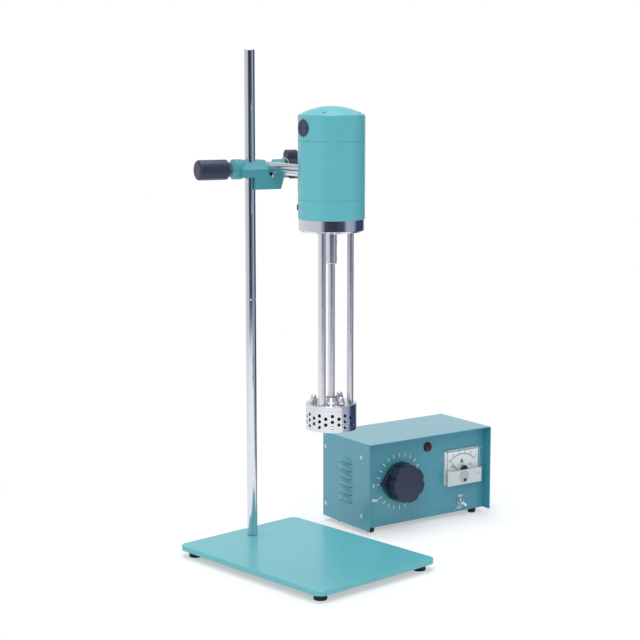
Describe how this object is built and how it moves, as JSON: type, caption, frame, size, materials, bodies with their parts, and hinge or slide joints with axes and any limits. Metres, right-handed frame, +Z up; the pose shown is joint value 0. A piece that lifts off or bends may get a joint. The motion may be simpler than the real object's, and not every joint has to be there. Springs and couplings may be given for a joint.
{
  "type": "rotor stator homogenizer",
  "caption": "Bench homogenizer: drive motor with perforated work head on a rod stand, raised, swung and locked by a clamp, with a separate speed controller",
  "frame": {"origin": "centre of the whole set's outline, on the bench", "axes": "+Z up along the rod, +X from the stand to the controller, -Y from the rod to the front of the base plate; the drive head stands about 15 degrees to the left of -Y"},
  "size_m": [0.557, 0.3206, 0.769],
  "materials": {
    "teal_enamel": "semi-gloss enamel",
    "controller_enamel": "semi-gloss enamel",
    "panel_enamel": "semi-gloss enamel",
    "black_rubber": "moulded",
    "polished_steel": "polished",
    "machine_steel": "turned",
    "black_phenolic": "moulded",
    "brass": "turned",
    "bronze": "turned",
    "carbon": "pressed carbon",
    "core_steel": "laminated",
    "copper": "enamelled wire",
    "bracket_steel": "zinc plated",
    "lamp_chrome": "plated",
    "red_lens": "moulded",
    "meter_card": "printed card",
    "needle_black": "painted",
    "clear_window": "clear moulding"
  },
  "bodies": {
    "base": {"base_plate": "teal_enamel", "base_feet": "black_rubber", "cover": "controller_enamel", "chassis": "controller_enamel", "front_panel": "panel_enamel", "box_feet": "black_rubber", "toroid": "copper", "toroid_bracket": "bracket_steel", "lamp_holder": "lamp_chrome", "lamp_lens": "red_lens", "meter_case": "black_phenolic", "meter_dial": "meter_card", "meter_window": "clear_window", "toggle_body": "lamp_chrome", "mains_inlet": "black_phenolic", "fuse_holder": "black_phenolic", "motor_socket": "black_phenolic"},
    "rod": {"lower_rod": "polished_steel", "upper_rod": "polished_steel", "rod_nut": "machine_steel"},
    "clamp": {"clamp_casting": "teal_enamel", "rod_pad": "brass", "arm_pad": "brass", "stop_screw": "polished_steel"},
    "rod_lock": {"clamp_screw": "machine_steel", "clamp_handle": "black_phenolic"},
    "arm_lock": {"arm_screw": "machine_steel", "arm_knob": "black_phenolic", "knob_washer": "machine_steel"},
    "arm": {"arm_bar": "polished_steel"},
    "head": {"arm_lug": "teal_enamel", "motor_cap": "teal_enamel", "middle_casing": "teal_enamel", "lower_casing": "teal_enamel", "drive_ring": "polished_steel", "upper_bearing": "machine_steel", "lower_bearing": "machine_steel", "brush_caps": "black_phenolic", "brush_tubes": "brass", "carbon_brushes": "carbon", "field_core": "core_steel", "field_coils": "copper", "cable_gland": "black_rubber", "support_rods": "polished_steel", "head_flange": "polished_steel", "shaft_bush": "bronze", "cap_nuts": "polished_steel", "stator_ring": "polished_steel"},
    "drive": {"motor_shaft": "machine_steel", "armature": "core_steel", "commutator": "copper", "cooling_fan": "black_phenolic", "coupling_sleeve": "polished_steel", "drive_shaft": "polished_steel", "rotor": "polished_steel"},
    "speed_dial": {"dial_knob": "black_phenolic", "dial_spindle": "brass"},
    "needle": {"meter_needle": "needle_black"},
    "zero_adjuster": {"zero_screw": "black_phenolic"},
    "power_toggle": {"toggle_lever": "lamp_chrome"}
  },
  "joints": [
    {"name": "stand_swing", "type": "hinge", "parent": "base", "child": "rod", "pos_m": [-0.15884, 0.12342, 0.59], "axis": [0, 0, 1], "range_deg": [-30, 30]},
    {"name": "head_height", "type": "slide", "parent": "rod", "child": "clamp", "axis": [0, 0, 1], "range_m": [-0.19, 0.14]},
    {"name": "rod_lock_turn", "type": "hinge", "parent": "clamp", "child": "rod_lock", "pos_m": [-0.2168, 0.13895, 0.59], "axis": [0.9659, -0.2588, 0], "range_deg": [-360, 0]},
    {"name": "arm_lock_turn", "type": "hinge", "parent": "clamp", "child": "arm_lock", "pos_m": [-0.10282, 0.10841, 0.592], "axis": [0.9659, -0.2588, 0], "range_deg": [0, 360]},
    {"name": "arm_reach", "type": "slide", "parent": "clamp", "child": "arm", "axis": [-0.2588, -0.9659, 0], "range_m": [-0.008, 0.03]},
    {"name": "head_roll", "type": "hinge", "parent": "arm", "child": "head", "pos_m": [-0.16726, -0.02392, 0.592], "axis": [-0.2588, -0.9659, 0], "range_deg": [-10, 10]},
    {"name": "drive_spin", "type": "hinge", "parent": "head", "child": "drive", "pos_m": [-0.18279, -0.08187, 0.5], "axis": [0, 0, 1], "continuous": true},
    {"name": "dial_turn", "type": "hinge", "parent": "base", "child": "speed_dial", "pos_m": [0.08464, 0.03939, 0.0776], "axis": [0.1444, 0.9895, 0], "range_deg": [0, 330]},
    {"name": "toggle_throw", "type": "hinge", "parent": "base", "child": "power_toggle", "pos_m": [0.21008, 0.01806, 0.025], "axis": [-0.9895, 0.1444, 0], "range_deg": [0, 26]},
    {"name": "needle_swing", "type": "hinge", "parent": "base", "child": "needle", "pos_m": [0.21107, 0.01792, 0.0699], "axis": [0.1444, 0.9895, 0], "range_deg": [0, 90], "stiffness_Nm_per_rad": 0.002},
    {"name": "zero_turn", "type": "hinge", "parent": "base", "child": "zero_adjuster", "pos_m": [0.21005, 0.01099, 0.0642], "axis": [0.1444, 0.9895, 0], "range_deg": [-15, 15]}
  ]
}
